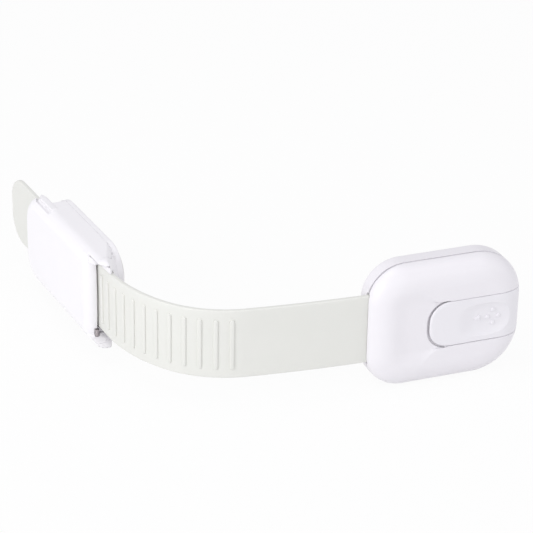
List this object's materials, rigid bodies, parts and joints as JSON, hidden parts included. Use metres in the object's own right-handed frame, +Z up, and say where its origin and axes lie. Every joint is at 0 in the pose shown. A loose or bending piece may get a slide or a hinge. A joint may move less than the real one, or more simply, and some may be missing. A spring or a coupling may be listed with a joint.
{
  "type": "cabinet safety lock",
  "caption": "Cabinet safety lock: rounded head with a slide button on an adhesive base, a ribbed flexible strap bent round a corner, and an adhesive buckle whose hinged lid grips the strap.",
  "frame": {"origin": "centre of the door pad's sticky face", "axes": "+X along the lock head away from the strap, +Y out of the door pad's sticky face into the furniture, +Z up across the strap's width"},
  "size_m": [0.1145, 0.1144, 0.036],
  "materials": {
    "white_shell": "smooth moulded ABS with a soft gloss",
    "button_white": "smooth moulded ABS, slightly satin where the finger slides",
    "inner_plastic": "plain moulded acetal, unpolished",
    "strap_rubber": "milky flexible thermoplastic, satin",
    "foam": "closed-cell adhesive foam",
    "steel": "zinc-plated steel",
    "spring_steel": "bright spring wire"
  },
  "bodies": {
    "lock_base": {"lock_base": "white_shell", "door_pad": "foam"},
    "lock_head": {"head_cover": "white_shell", "head_chassis": "inner_plastic", "chassis_screws": "steel", "strap_clamp": "inner_plastic", "clamp_screws": "steel", "return_spring_upper": "spring_steel", "return_spring_lower": "spring_steel"},
    "release_button": {"slide_button": "button_white", "latch_slider": "inner_plastic", "button_screws": "steel"},
    "strap": {"strap": "strap_rubber"},
    "buckle": {"buckle_base": "white_shell", "cabinet_pad": "foam", "hinge_pins": "steel"},
    "buckle_lid": {"buckle_lid": "white_shell"}
  },
  "joints": [
    {"name": "head_release", "type": "slide", "parent": "lock_base", "child": "lock_head", "axis": [0, -1, 0], "range_m": [0, 0.006]},
    {"name": "button_slide", "type": "slide", "parent": "lock_head", "child": "release_button", "axis": [-1, 0, 0], "range_m": [0, 0.005], "stiffness_N_per_m": 300, "springref_m": -0.002, "deforming": ["return_spring_upper", "return_spring_lower"]},
    {"name": "strap_flex", "type": "hinge", "parent": "lock_head", "child": "strap", "pos_m": [-0.07247, 0.00153, 0], "axis": [0, 0, 1], "range_deg": [-5.5, 84.5], "stiffness_Nm_per_rad": 0.02, "deforming": ["strap"]},
    {"name": "strap_adjust", "type": "slide", "parent": "strap", "child": "buckle", "axis": [-0.0958, 0.9954, 0], "range_m": [0, 0.0168]},
    {"name": "lid_hinge", "type": "hinge", "parent": "buckle", "child": "buckle_lid", "pos_m": [-0.08469, 0.0363, 0], "axis": [0, 0, 1], "range_deg": [0, 90]}
  ],
  "couplings": [
    {"joint": "head_release", "follows": "button_slide", "ratio": 1.2}
  ]
}
